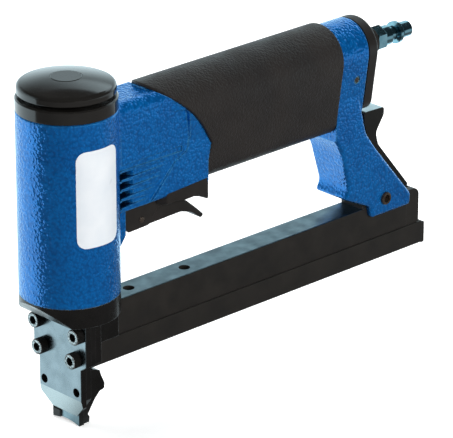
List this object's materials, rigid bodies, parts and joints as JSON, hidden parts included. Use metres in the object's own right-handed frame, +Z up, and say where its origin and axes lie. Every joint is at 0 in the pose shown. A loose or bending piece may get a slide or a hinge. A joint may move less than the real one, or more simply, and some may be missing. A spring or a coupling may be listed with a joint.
{
  "type": "pneumatic stapler",
  "caption": "Hand-held pneumatic fine-wire stapler with an upright barrel, rubber-sleeved handle, finger trigger and a long straight magazine whose drawer slides out to the rear.",
  "frame": {"origin": "the point where a staple leaves the nose, on the barrel's and driver's axis", "axes": "+Z up along the driver towards the cap, +X from the nose to the air plug, +Y across the tool to the left of someone holding it"},
  "size_m": [0.2412, 0.045, 0.1624],
  "materials": {
    "blue_enamel": "hammered enamel",
    "grip_rubber": "fine grained, matt",
    "black_oxide": "satin black oxide",
    "gloss_black": "moulded, glossy",
    "satin_black_plastic": "moulded, satin",
    "ground_steel": "ground",
    "zinc_steel": "turned, zinc plated",
    "bare_aluminium": "machined",
    "brass": "turned",
    "seal_rubber": "moulded",
    "washer_copper": "pressed",
    "label_vinyl": "blank white sticker"
  },
  "bodies": {
    "tool": {"housing": "blue_enamel", "grip_sleeve": "grip_rubber", "nose_body": "black_oxide", "driver_guide": "black_oxide", "nose_plate": "ground_steel", "nose_screws": "black_oxide", "base_screws": "black_oxide", "cylinder_liner": "bare_aluminium", "liner_seal": "seal_rubber", "bumper": "seal_rubber", "head_valve_spring": "ground_steel", "cylinder_head": "black_oxide", "head_seal": "seal_rubber", "retaining_ring": "ground_steel", "exhaust_deflector": "gloss_black", "deflector_screw": "black_oxide", "deflector_plug": "gloss_black", "trigger_bracket": "satin_black_plastic", "bracket_screws": "black_oxide", "trigger_pin": "zinc_steel", "valve_bushing": "brass", "valve_bushing_seals": "seal_rubber", "valve_spring": "ground_steel", "valve_plug": "brass", "end_cap": "satin_black_plastic", "end_cap_seal": "seal_rubber", "end_cap_pin": "zinc_steel", "plug_washer": "washer_copper", "air_plug": "zinc_steel", "magazine_rail": "black_oxide", "rail_screws": "black_oxide", "rear_bracket": "black_oxide", "leg_bolt": "black_oxide", "latch_pin": "zinc_steel"},
    "trigger": {"trigger": "satin_black_plastic"},
    "valve_stem": {"valve_stem": "brass"},
    "head_valve": {"head_valve": "bare_aluminium", "head_valve_seal": "seal_rubber"},
    "piston": {"piston": "bare_aluminium", "piston_seal": "seal_rubber", "driver_blade": "ground_steel", "driver_pin": "ground_steel"},
    "latch": {"latch_lever": "satin_black_plastic", "latch_spring": "black_oxide"},
    "drawer": {"drawer_channel": "black_oxide", "drawer_end": "black_oxide", "drawer_end_screw": "black_oxide", "staple_core": "ground_steel", "core_screws": "black_oxide"},
    "pusher": {"pusher": "satin_black_plastic", "spring_spool": "ground_steel", "feed_spring": "ground_steel"}
  },
  "joints": [
    {"name": "trigger_hinge", "type": "hinge", "parent": "tool", "child": "trigger", "pos_m": [0.0357, 0, 0.0879], "axis": [0, -1, 0], "range_deg": [0, 7], "stiffness_Nm_per_rad": 0.12, "springref_deg": -8.59},
    {"name": "valve_stem_slide", "type": "slide", "parent": "tool", "child": "valve_stem", "axis": [0, 0, 1], "range_m": [0, 0.0021], "deforming": ["valve_spring"]},
    {"name": "head_valve_slide", "type": "slide", "parent": "tool", "child": "head_valve", "axis": [0, 0, 1], "range_m": [0, 0.0022], "stiffness_N_per_m": 1500, "springref_m": -0.003, "deforming": ["head_valve_spring"]},
    {"name": "piston_slide", "type": "slide", "parent": "tool", "child": "piston", "axis": [0, 0, -1], "range_m": [0, 0.045]},
    {"name": "latch_hinge", "type": "hinge", "parent": "tool", "child": "latch", "pos_m": [0.1854, 0, 0.077], "axis": [0, -1, 0], "range_deg": [0, 6], "stiffness_Nm_per_rad": 0.25, "springref_deg": -6.88},
    {"name": "drawer_slide", "type": "slide", "parent": "tool", "child": "drawer", "axis": [1, 0, 0], "range_m": [0, 0.15]},
    {"name": "pusher_slide", "type": "slide", "parent": "drawer", "child": "pusher", "axis": [1, 0, 0], "range_m": [0, 0.1], "stiffness_N_per_m": 20, "springref_m": -0.15}
  ],
  "couplings": [
    {"joint": "valve_stem_slide", "follows": "trigger_hinge", "m_per_rad": 0.0169}
  ]
}
